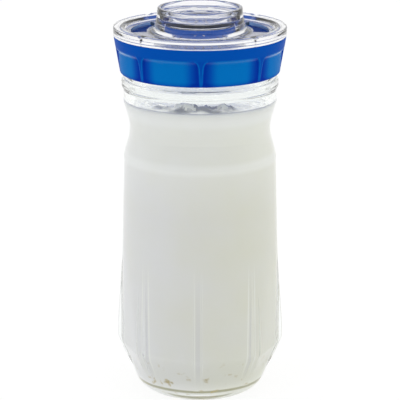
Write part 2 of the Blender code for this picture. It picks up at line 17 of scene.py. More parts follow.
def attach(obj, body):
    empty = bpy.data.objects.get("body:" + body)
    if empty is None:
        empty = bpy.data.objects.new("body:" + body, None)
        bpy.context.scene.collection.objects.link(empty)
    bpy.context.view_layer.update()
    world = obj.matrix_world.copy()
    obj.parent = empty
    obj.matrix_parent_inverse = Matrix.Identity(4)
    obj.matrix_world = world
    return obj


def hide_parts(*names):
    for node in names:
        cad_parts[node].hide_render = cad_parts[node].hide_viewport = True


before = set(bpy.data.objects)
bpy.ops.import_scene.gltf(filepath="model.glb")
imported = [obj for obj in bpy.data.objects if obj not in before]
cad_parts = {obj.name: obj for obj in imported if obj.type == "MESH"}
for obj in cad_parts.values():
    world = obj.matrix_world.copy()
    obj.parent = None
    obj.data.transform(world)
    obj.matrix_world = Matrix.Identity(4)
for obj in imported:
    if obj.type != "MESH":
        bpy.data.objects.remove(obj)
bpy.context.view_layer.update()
print("nodes:", ", ".join(sorted(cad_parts)))

# %% [markdown]
# ## Units and colours
#
# Outlines are written in millimetres, as on a drawing, and turned to metres in one place. Colours
# are written as the hex values that a colour picker shows, and one function turns them into the
# linear values that the shaders expect.

# %% Units and one function for colours
MM = 0.001
FULL_TURN = 2.0 * math.pi


def linear(hex_colour):
    """The linear colour of an sRGB hex value such as "#005CB8"."""
    channels = [int(hex_colour[place : place + 2], 16) / 255.0 for place in (1, 3, 5)]
    return (*[c / 12.92 if c <= 0.04045 else ((c + 0.055) / 1.055) ** 2.4 for c in channels], 1.0)


print("cobalt blue is", [round(channel, 3) for channel in linear("#005CB8")[:3]])

# %% [markdown]
# ## Outlines with rounded corners
#
# Every piece here is round about the jar's axis, so each starts as an outline: a list of corners
# with radius, height and the size of the round at that corner. Typing hundreds of points is slow
# and uneven. Here each corner is replaced by an arc that touches both sides, as a fillet tool does.

# %% Turn corners into a smooth outline
ARC_STEP = math.radians(10.0)
SMALL_ARC_STEP = math.radians(30.0)
SMALL_ROUND = 0.7
LARGEST_REACH = 0.96


def outline(corners, closed=False):
    """Points (radius, height) in millimetres of corners (radius, height, round)."""
    points = []
    count = len(corners)
    for index, (radius, height, fillet) in enumerate(corners):
        here = Vector((radius, height))
        if fillet == 0.0 or (not closed and index in (0, count - 1)):
            points.append(here)
            continue
        previous, following = corners[index - 1], corners[(index + 1) % count]
        before, after = Vector(previous[:2]) - here, Vector(following[:2]) - here
        half = before.angle(after) / 2.0
        room_before = LARGEST_REACH * before.length * fillet / (fillet + previous[2])
        room_after = LARGEST_REACH * after.length * fillet / (fillet + following[2])
        reach = min(fillet / math.tan(half), room_before, room_after)
        arc_radius = reach * math.tan(half)
        inward = (before.normalized() + after.normalized()).normalized()
        middle = here + inward * arc_radius / math.sin(half)
        spoke = here + before.normalized() * reach - middle
        sweep = math.copysign(math.pi - 2.0 * half, -before.cross(after))
        step = ARC_STEP if arc_radius > SMALL_ROUND else SMALL_ARC_STEP
        steps = math.ceil(abs(sweep) / step)
        for number in range(steps + 1):
            points.append(middle + Matrix.Rotation(sweep * number / steps, 2) @ spoke)
    return points


def divided(points, longest, low=-1.0, high=1000.0):
    """The same outline, with no step longer than this between the two heights."""
    finer = [points[0]]
    for first, second in zip(points[:-1], points[1:]):
        inside = min(first.y, second.y) < high and max(first.y, second.y) > low
        parts = math.ceil((second - first).length / longest) if inside else 1
        finer += [first.lerp(second, part / parts) for part in range(1, parts + 1)]
    return finer

# %% [markdown]
# ## Turning an outline
#
# A lathe piece can be made with the Screw modifier or with the Spin tool. Spin is used here because
# it leaves a plain mesh that can be shaped further. A plane is merged to one point, the point is
# extruded along the outline, and the outline is spun once round the axis. The seam and the poles
# are closed by merging doubles, and the normals are then turned outwards.

# %% Spin an outline into a piece
SEAM = 0.002 * MM
SHARP = math.radians(38.0)


def turned(name, points, steps, closed=False):
    """A new mesh object from an outline in millimetres, spun round the Z axis."""
    bpy.ops.object.select_all(action="DESELECT")
    bpy.ops.mesh.primitive_plane_add(size=MM)
    piece = bpy.context.object
    piece.name = piece.data.name = name
    bpy.ops.object.mode_set(mode="EDIT")
    bpy.ops.mesh.merge(type="CENTER")
    path = list(points) + [points[0]] if closed else points
    bpy.ops.transform.translate(value=(path[0].x * MM, 0.0, path[0].y * MM))
    for first, second in zip(path[:-1], path[1:]):
        move = (second - first) * MM
        bpy.ops.mesh.extrude_region_move(TRANSFORM_OT_translate={"value": (move.x, 0.0, move.y)})
    bpy.ops.mesh.select_all(action="SELECT")
    bpy.ops.mesh.spin(steps=steps, angle=FULL_TURN, center=(0.0, 0.0, 0.0), axis=(0.0, 0.0, 1.0))
    bpy.ops.mesh.select_all(action="SELECT")
    bpy.ops.mesh.remove_doubles(threshold=SEAM)
    bpy.ops.mesh.normals_make_consistent(inside=False)
    bpy.ops.object.mode_set(mode="OBJECT")
    bpy.ops.object.shade_smooth_by_angle(angle=SHARP)
    print(f"{name}: {len(piece.data.polygons)} faces")
    return piece

# %% [markdown]
# ## Shaping by a formula
#
# Ribs and flat panels that melt into round glass have no sharp edges to extrude or bevel. They are
# made another way: the turned mesh gets columns of points close together where the ribs will be,
# and a formula then moves each point. The helper hands the formula every point's radius, angle and
# height in millimetres and degrees, and writes the answer back.

# %% Move the points of a piece by a formula
def reshaped(piece, formula):
    """Moves the points of a piece to the (radius, angle, height) that the formula returns."""
    mesh = piece.data
    places = np.empty(len(mesh.vertices) * 3)
    mesh.vertices.foreach_get("co", places)
    x, y, z = places.reshape(-1, 3).T / MM
    radius, angle, height = formula(np.hypot(x, y), np.degrees(np.arctan2(y, x)), z)
    turn = np.radians(angle)
    places = np.stack([radius * np.cos(turn), radius * np.sin(turn), height], axis=1) * MM
    mesh.vertices.foreach_set("co", places.ravel())
    mesh.update()


def sector_angle(angle, count, clocking=0.0):
    """The angle from the nearest of so many evenly spaced ribs, and that rib's own angle."""
    width = 360.0 / count
    rib = np.round((angle - clocking) / width) * width + clocking
    return angle - rib, rib


def gathered(angle, count, even, wanted, clocking=0.0):
    """Columns gathered near each rib: even spacing goes to the wanted angles."""
    offset, rib = sector_angle(angle, count)
    return rib + clocking + np.sign(offset) * np.interp(np.abs(offset), even, wanted)


def softly(value):
    """A smooth step from 0 to 1."""
    value = np.clip(value, 0.0, 1.0)
    return value * value * (3.0 - 2.0 * value)


def lower_of(first, second, blend):
    """The smaller of two surfaces, with a soft hollow where they cross."""
    share = np.clip(0.5 + 0.5 * (second - first) / blend, 0.0, 1.0)
    return second * (1.0 - share) + first * share - blend * share * (1.0 - share)


def higher_of(first, second, blend):
    """The larger of two surfaces, with a soft fillet where they cross."""
    return -lower_of(-first, -second, blend)

# %% [markdown]
# ## Materials from nodes
#
# Each material starts from what the real one is and how its surface was made. One small function
# adds a node, sets it up and links its sockets, so that a material reads from top to bottom like a
# recipe. Patterns use Object coordinates, so their scale is a real size in metres.

# %% One function that adds a node
def add_node(owner, kind, inputs=(), **settings):
    """Adds a node and returns its outputs. Inputs are named in a dict, or stand in their order.

    A socket is linked, and any other value is set.
    """
    node = owner.node_tree.nodes.new("ShaderNode" + kind)
    for name, value in settings.items():
        setattr(node, name, value)
    for place, value in inputs.items() if isinstance(inputs, dict) else enumerate(inputs):
        if isinstance(value, bpy.types.NodeSocket):
            owner.node_tree.links.new(value, node.inputs[place])
        else:
            node.inputs[place].default_value = value
    return node.outputs


def new_material(name):
    """A material with no nodes yet."""
    material = bpy.data.materials.new(name)
    material.use_nodes = True
    material.node_tree.nodes.clear()
    return material


def pattern(material, size_mm, detail=2.0, stretch=(1.0, 1.0, 1.0)):
    """A soft noise whose lumps are about this many millimetres across."""
    place = add_node(material, "TexCoord")["Object"]
    moved = add_node(material, "Mapping", {"Vector": place, "Scale": stretch})["Vector"]
    scale = {"Vector": moved, "Scale": 1.0 / (size_mm * MM), "Detail": detail}
    return add_node(material, "TexNoise", scale)["Fac"]


def finished(material, shader):
    """Gives the material its shader."""
    add_node(material, "OutputMaterial", {"Surface": shader})
    print("material:", material.name)
    return material

# %% [markdown]
# ## Clear materials
#
# Pressed glass and injection-moulded acrylic are both clear, and both bend what is seen through
# them. Glass is slightly green, has an index of 1.52, and its skin waves softly because it cooled
# against iron. Acrylic is close, at 1.49, and flatter. Behind real glass the kefir is lit by the
# room. A renderer would need countless rays to bring that light through, so the rays that carry
# light to a surface pass straight, and the rays that look at it bend.
#
# Two more finishes come from the same recipe. The underside of the foot rests on white paper, and
# it lets a ray through straight once the ray is inside the glass, so the foot shows the paper. The
# cut sides of the cover's windows are satin, and their acrylic is tinted dark blue, a painted
# reflection of the blue cap below.

# %% Pressed glass and clear acrylic
GLASS = {"ior": 1.52, "wave_mm": 14.0, "wave_depth_mm": 0.05, "passing": "#FAFCFB"}
ACRYLIC = {"ior": 1.49, "wave_mm": 9.0, "wave_depth_mm": 0.012, "passing": "#F2F3F4"}


def clear_material(name, colour, roughness, ior, wave_mm, wave_depth_mm, passing, resting=False):
    """A clear material. Passing is the colour of light that goes straight through."""
    material = new_material(name)
    waves = {"Height": pattern(material, wave_mm, detail=1.0), "Distance": wave_depth_mm * MM}
    surface = {
        "Base Color": linear(colour),
        "Roughness": roughness,
        "IOR": ior,
        "Transmission Weight": 1.0,
        "Normal": add_node(material, "Bump", waves)["Normal"],
    }
    bending = add_node(material, "BsdfPrincipled", surface)["BSDF"]
    straight = add_node(material, "BsdfTransparent", {"Color": linear(passing)})["BSDF"]
    path = add_node(material, "LightPath")
    lighting = (path["Is Shadow Ray"], path["Is Diffuse Ray"])
    share = add_node(material, "Math", lighting, operation="MAXIMUM")[0]
    if resting:
        inside = (share, path["Is Transmission Ray"])
        share = add_node(material, "Math", inside, operation="MAXIMUM")[0]
    return finished(material, add_node(material, "MixShader", (share, bending, straight))["Shader"])


pressed_glass = clear_material("pressed_soda_lime_glass", "#FAFCFB", 0.0, **GLASS)
glass_foot = clear_material("pressed_glass_foot", "#FAFCFB", 0.0, resting=True, **GLASS)
clear_acrylic = clear_material("clear_moulded_acrylic", "#FDFDFE", 0.0, **ACRYLIC)
# Painted reflection: the windows' cut sides are tinted dark blue for the blue cap below them.
satin_edge_painted_blue = clear_material("satin_acrylic_edge_painted_reflection", "#2C4C8C", 0.5, **ACRYLIC)

# %% [markdown]
# ## Blue polypropylene
#
# The cap is moulded polypropylene: a strong blue with a satin surface, because the steel mould was
# polished but not mirror bright, and the plastic shrinks a little as it sets. Light and shade are
# painted into the blue: painted shade makes it deep beside a grip, and painted light makes it paler
# out in the middle of a panel. An attribute of the mesh carries that painted light and shade. A
# second one, polish, marks the hollow under the band, which is smoother: its thin coat shines only
# where it is seen from the side.

# %% Blue moulded polypropylene
SKIN_GRAIN_MM = 0.7
SKIN_DEPTH = 0.01 * MM
# Blues of the painted light and shade, from the deepest painted shade up to the palest painted light.
DEEPEST_SHADE_BLUE = "#03306C"
BLUE_LIGHT_AND_SHADE_STEPS = ((-1.0, 0.0, "#0030A2"), (0.0, 0.5, "#0052B6"), (0.5, 1.0, "#0074C6"))


def blue_material():
    """Satin blue plastic with painted light and shade, read from a mesh attribute that runs from -1 to
    1.
    """
    material = new_material("blue_moulded_polypropylene")
    skin = pattern(material, SKIN_GRAIN_MM, detail=3.0)
    painted_light_and_shade = add_node(material, "Attribute", attribute_name="painted_light_and_shade")["Fac"]
    blue = linear(DEEPEST_SHADE_BLUE)
    for low, high, colour in BLUE_LIGHT_AND_SHADE_STEPS:
        share = add_node(material, "MapRange", (painted_light_and_shade, low, high))["Result"]
        colours = {0: share, 6: blue, 7: linear(colour)}
        blue = add_node(material, "Mix", colours, data_type="RGBA")[2]
    surface = {
        "Base Color": blue,
        "Roughness": add_node(material, "MapRange", (skin, 0.3, 0.7, 0.36, 0.46))["Result"],
        "IOR": 1.49,
        "Specular IOR Level": 0.02,
        "Coat Weight": add_node(material, "Attribute", attribute_name="polish")["Fac"],
        "Coat Roughness": 0.12,
        "Coat IOR": 1.22,
        "Normal": add_node(material, "Bump", {"Height": skin, "Distance": SKIN_DEPTH})["Normal"],
    }
    return finished(material, add_node(material, "BsdfPrincipled", surface)["BSDF"])


blue_polypropylene = blue_material()

# %% [markdown]
# ## Seals
#
# The flat seals are cast silicone, milky and matt, so a little light goes into them. The small
# ring round the cup is black rubber with a dusty bloom.

# %% White silicone and black rubber
SEAL_GRAIN_DEPTH = 0.01 * MM
SILICONE_GLOW_REACH = 0.8 * MM


def seal_material(name, first, second, roughness, grain_mm, glow):
    """A matt rubbery material with a fine grain between two colours."""
    material = new_material(name)
    grain = pattern(material, grain_mm, detail=3.0)
    colours = {0: grain, 6: linear(first), 7: linear(second)}
    surface = {
        "Base Color": add_node(material, "Mix", colours, data_type="RGBA")[2],
        "Roughness": roughness,
        "IOR": 1.43,
        "Subsurface Weight": glow,
        "Subsurface Scale": SILICONE_GLOW_REACH,
        "Normal": add_node(material, "Bump", {"Height": grain, "Distance": SEAL_GRAIN_DEPTH})["Normal"],
    }
    return finished(material, add_node(material, "BsdfPrincipled", surface)["BSDF"])


white_silicone = seal_material("cast_white_silicone", "#E9EAEA", "#F1F1EF", 0.5, 2.0, 0.2)
black_rubber = seal_material("black_nitrile_rubber", "#161617", "#222223", 0.45, 0.6, 0.0)

# %% [markdown]
# ## Light that the glass gathers on the kefir
#
# The ribs and rings of the glass gather light on the kefir behind them, as a lens does: a bright
# line along both edges of each rib, with grey shade between them, and a bright band behind each
# ring. Light that is gathered like this takes too many rays, so those marks are painted in the
# material as painted highlights and painted shade. The kefir's bottom edge also gets a painted
# shade, a dark olive line, because its underside lies in shade. Each mark is a share, which says
# how much of it shows at a point, and a colour.

# %% Marks behind the ribs and rings
RIB_SPACING = math.radians(45.0)
RIB_LINE = math.radians(2.9)
HEEL = 12.0 * MM
ABOVE_HEEL = 24.0 * MM
# Marks along a rib: degrees where full and where gone, strength, height where full and where
# gone, colour. The first is the grey painted shade between a rib's edges, the second the painted
# highlight along each edge.
RIB_MARKS = (
    (1.3, 2.2, 0.3, 45.0, 75.0, "#CFCED6"),
    (0.2, 0.9, 0.7, 62.0, 80.0, "#F4F4F0"),
)
# Rings: level, distance where full and where gone, strength, colour. The last is painted shade along the
# bottom edge.
RINGS = (
    (156.5, 1.2, 4.0, 0.3, "#FFFFFF"), (131.5, 1.05, 3.5, 0.3, "#FFFFFF"),
    (7.6, 0.4, 1.0, 0.8, "#96916C"),
)


def rib_marks(material, parts):
    """Shares and colours of the painted highlights and shade that follow the ribs up from the heel."""
    height = parts["Z"]
    angle = add_node(material, "Math", (parts["Y"], parts["X"]), operation="ARCTAN2")[0]
    away = add_node(material, "Math", (angle, RIB_SPACING / 2.0), operation="PINGPONG")[0]
    from_line = add_node(material, "Math", (away, RIB_LINE), operation="SUBTRACT")[0]
    from_line = add_node(material, "Math", (from_line,), operation="ABSOLUTE")[0]
    above_heel = add_node(material, "MapRange", (height, HEEL, ABOVE_HEEL))["Result"]
    marks = []
    for distance, (full, gone, strength, below, end, colour) in zip((away, from_line), RIB_MARKS):
        limits = (distance, math.radians(full), math.radians(gone), strength, 0.0)
        mark = add_node(material, "MapRange", limits)["Result"]
        low_down = add_node(material, "MapRange", (height, below * MM, end * MM, 1.0, 0.0))["Result"]
        low_down = add_node(material, "Math", (low_down, above_heel), operation="MULTIPLY")[0]
        mark = add_node(material, "Math", (mark, low_down), operation="MULTIPLY")[0]
        marks.append((mark, colour))
    return marks


def ring_marks(material, height):
    """Shares and colours of the painted light behind the rings and the painted shade along the bottom
    edge.
    """
    marks = []
    for level, full, gone, strength, colour in RINGS:
        off_level = add_node(material, "Math", (height, level * MM), operation="SUBTRACT")[0]
        off_level = add_node(material, "Math", (off_level,), operation="ABSOLUTE")[0]
        limits = (off_level, full * MM, gone * MM, strength, 0.0)
        marks.append((add_node(material, "MapRange", limits)["Result"], colour))
    return marks


print(len(RIB_MARKS), "marks along each rib,", len(RINGS), "around the jar")

# %% [markdown]
# ## Kefir
#
# Kefir is thick sour milk. Against the glass it is an even warm grey-white with cloudy patches,
# slightly lilac towards one side and slightly cream towards the other. Near the floor a few
# olive-brown stains show where grains have settled. It touches the glass, so it has no gloss of its
# own there. Clouds, marks and stains are all shares with a colour, so one loop can lay them over the
# milk white in their order.

# %% Kefir against the glass
JAR_HALF_WIDTH = 38.0 * MM
CLOUD_MM = 26.0
STAIN_MM = 5.0
STAINS_FULL = 11.0 * MM
STAINS_GONE = 30.0 * MM
UPPER_START = 105.0 * MM
UPPER_END = 150.0 * MM
UPPER_STRENGTH = 0.6
LILAC_WHITE = "#E7E6E8"
CREAM_WHITE = "#E4E3D7"
UPPER_WHITE = "#F8F8F4"
STAIN_OLIVE = "#B8A878"


def kefir_material():
    """Cloudy milk white with the marks that the glass draws on it."""
    material = new_material("kefir")
    place = add_node(material, "TexCoord")["Object"]
    parts = add_node(material, "SeparateXYZ", {"Vector": place})
    height = parts["Z"]
    limits = (parts["X"], -JAR_HALF_WIDTH, JAR_HALF_WIDTH, -0.2, 0.75)
    across = add_node(material, "MapRange", limits)["Result"]
    clouds = pattern(material, CLOUD_MM, detail=3.0)
    clouds = add_node(material, "Math", (across, clouds), operation="ADD")[0]
    clouds = add_node(material, "MapRange", (clouds, 0.3, 1.3))["Result"]
    # The rib and ring marks are painted light and shade, laid over the clouds.
    marks = [(clouds, CREAM_WHITE)] + rib_marks(material, parts)
    limits = (height, UPPER_START, UPPER_END, 0.0, UPPER_STRENGTH)
    marks.append((add_node(material, "MapRange", limits)["Result"], UPPER_WHITE))
    marks = marks + ring_marks(material, height)

    specks = pattern(material, STAIN_MM, detail=5.0)
    specks = add_node(material, "MapRange", (specks, 0.60, 0.70))["Result"]
    settled = add_node(material, "MapRange", (height, STAINS_FULL, STAINS_GONE, 1.0, 0.0))["Result"]
    stains = add_node(material, "Math", (settled, specks), operation="MULTIPLY")[0]
    marks.append((stains, STAIN_OLIVE))

    body = linear(LILAC_WHITE)
    for share, colour in marks:
        colours = {0: share, 6: body, 7: linear(colour)}
        body = add_node(material, "Mix", colours, data_type="RGBA")[2]
    surface = {
        "Base Color": body,
        "Roughness": 0.6,
        "Specular IOR Level": 0.1,
        "Subsurface Weight": 1.0,
        "Subsurface Radius": (1.0, 1.0, 1.0),
        "Subsurface Scale": 8.0 * MM,
    }
    return finished(material, add_node(material, "BsdfPrincipled", surface)["BSDF"])


kefir = kefir_material()

# %% [markdown]
# ## Foam
#
# The top is foam: wet and whiter, and the curds that stand out of it get a grey painted shade. Light
# that soaked into the milk through the sides of the jar comes out there. That takes more rays than a
# render has, so the foam gets a weak glow of its own, a painted light.

# %% Foam
FROTH_MM = 7.0
FROTH_STRETCH = (0.45, 1.0, 1.0)
FROTH_DEPTH = 0.06 * MM
FOAM_WHITE = "#FFFDF4"
CURD_SHADE_GREY = "#77797E"
FOAM_GLOW = 0.42


def foam_material():
    """Wet white foam, with grey painted shade where the mesh's curds attribute says so."""
    material = new_material("kefir_foam")
    froth = pattern(material, FROTH_MM, detail=5.0, stretch=FROTH_STRETCH)
    curds = add_node(material, "Attribute", attribute_name="curds")["Fac"]
    uneven = add_node(material, "MapRange", (froth, 0.30, 0.55))["Result"]
    painted_curd_shade = add_node(material, "Math", (curds, uneven), operation="MULTIPLY")[0]
    colours = {0: painted_curd_shade, 6: linear(FOAM_WHITE), 7: linear(CURD_SHADE_GREY)}
    foam = add_node(material, "Mix", colours, data_type="RGBA")[2]
    surface = {
        "Base Color": foam,
        "Emission Color": foam,
        "Emission Strength": FOAM_GLOW,
        "Roughness": 0.12,
        "IOR": 1.35,
        "Coat Weight": 1.0,
        "Coat Roughness": 0.08,
        "Coat IOR": 1.5,
        "Subsurface Weight": 1.0,
        "Subsurface Radius": (1.0, 1.0, 1.0),
        "Subsurface Scale": 60.0 * MM,
        "Normal": add_node(material, "Bump", {"Height": froth, "Distance": FROTH_DEPTH})["Normal"],
    }
    return finished(material, add_node(material, "BsdfPrincipled", surface)["BSDF"])


kefir_foam = foam_material()

# %% [markdown]
# ## The glass jar
#
# The outline runs from the floor's middle up the inside, over the lip, and down the outside to the
# hollow under the foot. The real jar narrows below the cap, swells to a ring, and has eight ribs
# with flat panels between them that end in a tapered heel.

# %% The jar's outline
JAR_INSIDE = (
    (0.0, 8.1, 0.0), (29.09, 5.5, 8.0), (37.8, 26.2, 8.0), (37.75, 131.5, 8.0), (33.7, 147.0, 22.0),
    (37.8, 161.0, 8.0), (37.8, 170.1, 4.0), (35.3, 176.7, 4.0), (35.3, 189.0, 1.2),
)
JAR_OUTSIDE = (
    (38.4, 189.0, 1.2), (38.4, 177.0, 0.6), (39.85, 174.1, 0.6), (41.85, 174.1, 2.0),
    (41.85, 170.1, 2.0), (40.9, 168.1, 2.0), (40.9, 161.0, 8.0), (36.8, 147.0, 22.0),
    (41.15, 131.5, 0.6), (40.85, 129.1, 2.4), (42.2, 82.0, 60.0), (42.9, 25.6, 4.0),
    (32.14, 0.0, 12.0), (21.97, 0.0, 0.6), (21.4, 1.4, 0.6), (0.0, 1.4, 0.0),
)
JAR_STEPS = 320
RIB_COUNT = 8
RIBS_BELOW = 94.0

jar_outline = outline(JAR_INSIDE + JAR_OUTSIDE)
split = max(range(len(jar_outline)), key=lambda place: jar_outline[place].y)
jar_inner = jar_outline[:split]
# The threaded mouth and the ribbed part get rows of points close together.
jar_outer = divided(jar_outline[split:], 0.45, 177.2, 187.4)
jar_outer = divided(jar_outer, 2.0, 0.5, RIBS_BELOW)
glass_jar = turned("pressed_glass_jar", divided(jar_inner, 8.0) + jar_outer, JAR_STEPS)

# %% [markdown]
# ## Ribs and panels on the glass
#
# The panels are flat cuts, so their distance from the axis grows towards each rib, and the glass
# takes whichever of cut and round wall is further in. Each rib stands in front of both. Fillets
# come from blending, as fire polishing does, and towards the foot all of it fades into the round
# glass.

# %% Panels and ribs by formula
RIB_EVEN = (0.0, 2.25, 11.25, 22.5)
RIB_GATHERED = (0.0, 2.4, 3.9, 22.5)
RIB_CREST = (
    (41.9, 82.0, 0.0), (45.1, 36.0, 60.0), (45.1, 28.69, 4.0), (33.37, 0.8, 12.0), (24.2, 0.8, 0.0),
)
RIB_HALF_WIDTH = 2.0
RIB_FLANK_SLOPE = 4.5
RIB_BLEND = 0.35
RIB_FOOT = 8.0
RIB_FOOT_FADE = 12.0
PANEL_LOW_RADIUS = 40.9
PANEL_LEAN = 1.3 / 46.4
HEEL_TAPER = 0.42036
PANEL_CORNER = 25.6
PANEL_BLEND = 1.2

crest = outline(RIB_CREST)
crest_heights = [point.y for point in reversed(crest)]
crest_radii = [point.x for point in reversed(crest)]


def ribbed_wall(radius, angle, height):
    """Distance of the wall from the axis, with its panels cut and its ribs raised."""
    offset, _ = sector_angle(angle, RIB_COUNT)
    from_panel = np.radians(180.0 / RIB_COUNT - np.abs(offset))
    slope = np.where(height > PANEL_CORNER, PANEL_LEAN, HEEL_TAPER)
    flat = PANEL_LOW_RADIUS + slope * (height - PANEL_CORNER)
    faceted = lower_of(radius, flat / np.cos(from_panel), PANEL_BLEND)
    sideways = radius * np.abs(np.sin(np.radians(offset)))
    flank = np.maximum(sideways - RIB_HALF_WIDTH, 0.0) * RIB_FLANK_SLOPE
    rib = np.interp(height, crest_heights, crest_radii, left=0.0, right=0.0) - flank
    ribbed = higher_of(faceted, rib, RIB_BLEND)
    return radius + (ribbed - radius) * softly((height - RIB_FOOT) / RIB_FOOT_FADE)


print("ribs reach from", round(min(crest_heights), 1), "to", round(max(crest_heights), 1), "mm")

# %% [markdown]
# ## A thread for the mouth
#
# A jar's thread is a low ridge that climbs round the mouth, 10 mm in a turn, and fades in and out
# at its ends. There are two, half a turn apart, so the cap sits level and needs less turning. The
# same formula serves the cap's bore later, a little lower down.

# %% Height of the thread
THREAD_LEVEL = 183.62
THREAD_LEAD = 10.0
THREAD_SWEEP = 200.0
THREAD_HEIGHT = 1.4
THREAD_ROOT = 2.4
THREAD_CREST = 1.0
THREAD_RUN_OUT = 14.0
THREAD_STARTS = (0.0, 180.0)


def thread_height(angle, height, middle):
    """Height of the thread's ridges at these points."""
    total = 0.0
    for start in THREAD_STARTS:
        along = (angle - start) % 360.0
        centre = middle + THREAD_LEAD * (along - THREAD_SWEEP / 2.0) / 360.0
        off = np.abs(height - centre)
        ridge = softly((THREAD_ROOT / 2.0 - off) / (THREAD_ROOT - THREAD_CREST) * 2.0)
        ends = softly(np.minimum(along, THREAD_SWEEP - along) / THREAD_RUN_OUT)
        total = total + THREAD_HEIGHT * ridge * ends
    return total


print("thread:", len(THREAD_STARTS), "starts,", THREAD_LEAD, "mm a turn,", THREAD_HEIGHT, "mm high")

# %% [markdown]
# ## The glass gets its shape
#
# The turned jar has enough points to carry all of this, so they only have to move: sideways to
# where an edge comes, and then in or out. The inside of the wall stays round, as the plunger of a
# glass press leaves it. The underside of the foot then gets the finish that lets the paper show.

# %% Shape the glass
FOOT_RADIUS = 24.1
MOUTH_RADIUS = 38.4
MOUTH_BOTTOM = 177.0
INSIDE_SKIN = 0.8
UNDERSIDE = 2.0
NEAR = 0.05

inner_heights = [point.y for point in jar_inner]
inner_radii = [point.x for point in jar_inner]


def shape_glass(radius, angle, height):
    """Cuts the panels, raises the ribs and adds the thread."""
    in_wall = radius > np.interp(height, inner_heights, inner_radii) + INSIDE_SKIN
    outside = in_wall & (radius > FOOT_RADIUS)
    angle = gathered(angle, RIB_COUNT, RIB_EVEN, RIB_GATHERED)
    ribbed = ribbed_wall(radius, angle, height)
    shaped = np.where(outside & (height < RIBS_BELOW), ribbed, radius)
    threaded = outside & (height > MOUTH_BOTTOM) & (np.abs(radius - MOUTH_RADIUS) < NEAR)
    thread = thread_height(angle, height, THREAD_LEVEL)
    return np.where(threaded, radius + thread, shaped), angle, height


reshaped(glass_jar, shape_glass)
glass_jar.data.materials.append(pressed_glass)
glass_jar.data.materials.append(glass_foot)
for face in glass_jar.data.polygons:
    if face.center.z < UNDERSIDE * MM and face.normal.z < -0.5:
        face.material_index = 1
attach(glass_jar, "jar")
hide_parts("glass_jar")
print("glass jar is", round(max(glass_jar.dimensions) / MM, 1), "mm high")

# %% [markdown]
# ## The kefir in the jar
#
# Where a liquid wets glass there is no air between them, and that is what makes a full jar look
# solid white up to its edge. The kefir therefore reaches a hair's breadth into the glass, so that a
# ray meets it inside the glass. Its top climbs a little at the wall.

# %% Turn the kefir
KEFIR_REACH = 0.15
WATERLINE = 162.4
SURFACE_LEVEL = 161.4
KEFIR_STEPS = 192
WALL_SPACING = 4.0
TOP_SPACING = 0.8
CLEAR_OF_WATERLINE = 0.4
MENISCUS_RADIUS = 36.9
MENISCUS_RISE = 0.2
LEVEL_RADIUS = 36.0


def pushed_out(points, distance):
    """The outline moved to its outer side by this distance."""
    moved = []
    for index, point in enumerate(points):
        ahead = points[min(index + 1, len(points) - 1)] - points[max(index - 1, 0)]
        moved.append(point + Vector((ahead.y, -ahead.x)).normalized() * distance)
    moved[0].x = 0.0
    return moved


wall_points = divided(jar_inner, WALL_SPACING)
wetted = [point for point in wall_points if point.y < WATERLINE - CLEAR_OF_WATERLINE]
wetted = pushed_out(wetted, KEFIR_REACH)
meniscus = [
    Vector((wetted[-1].x, WATERLINE)),
    Vector((MENISCUS_RADIUS, SURFACE_LEVEL + MENISCUS_RISE)),
    Vector((LEVEL_RADIUS, SURFACE_LEVEL)),
]
surface = divided([meniscus[-1], Vector((0.0, SURFACE_LEVEL))], TOP_SPACING)
kefir_body = turned("kefir_body", wetted + meniscus + surface[1:], KEFIR_STEPS)
print("kefir stands", round(kefir_body.dimensions.z / MM, 1), "mm deep")

# %% [markdown]
# ## Curds and foam on top
#
# Gas lifts curds out of the kefir, so its top isn't flat: a few soft hills stand near the front,
# and small lumps cover the rest. A fractal, noise laid over finer noise, gives the lumps. The hills
# also mark where the foam gets a grey painted shade, in an attribute called curds.

# %% Raise the curds
TOP_RADIUS = 36.6
CURD_HEIGHT = 0.9
CURD_SIZE = 6.0
CURD_FADE = 4.0
CURD_LAYER = 3.0
CURD_FRACTAL = (0.7, 2.1, 4)
HILL_ROUGHNESS = 0.9
BOWL_RISE = 1.3
BOWL_CURVE = 2.5
# Curd hills near the front: x, y, height, width.
CURD_HILLS = (
    (-6.5, -31.0, 5.0, 4.2), (-13.0, -30.0, 2.2, 4.5), (13.5, -30.0, 3.2, 5.0), (-20.0, -27.0, 1.6, 4.0),
    (3.0, -33.0, 2.2, 8.0),
)
CURD_SHADE_FULL_AT = 1.8
FOAM_DEPTH = 3.0


def hill_height(x, y):
    """Height of the curd hills above the surface."""
    hills = 0.0
    for at_x, at_y, tall, wide in CURD_HILLS:
        hills = hills + tall * np.exp(-((x - at_x) ** 2 + (y - at_y) ** 2) / wide**2)
    return hills


def curdle(radius, angle, height):
    """Raises soft lumps on the top, none where it meets the glass."""
    x, y = radius * np.cos(np.radians(angle)), radius * np.sin(np.radians(angle))
    spots = zip(x / CURD_SIZE, y / CURD_SIZE)
    lumps = np.array([noise.fractal(Vector((a, b, CURD_LAYER)), *CURD_FRACTAL) for a, b in spots])
    on_top = (height > SURFACE_LEVEL - 0.1) & (radius < TOP_RADIUS)
    fade = softly((TOP_RADIUS - radius) / CURD_FADE)
    hills = hill_height(x, y) * (1.0 + HILL_ROUGHNESS * lumps)
    lift = fade * (CURD_HEIGHT * lumps + hills) + BOWL_RISE * (radius / TOP_RADIUS) ** BOWL_CURVE
    return radius, angle, height + np.where(on_top, lift, 0.0)


reshaped(kefir_body, curdle)
places = np.array([corner.co for corner in kefir_body.data.vertices]) / MM
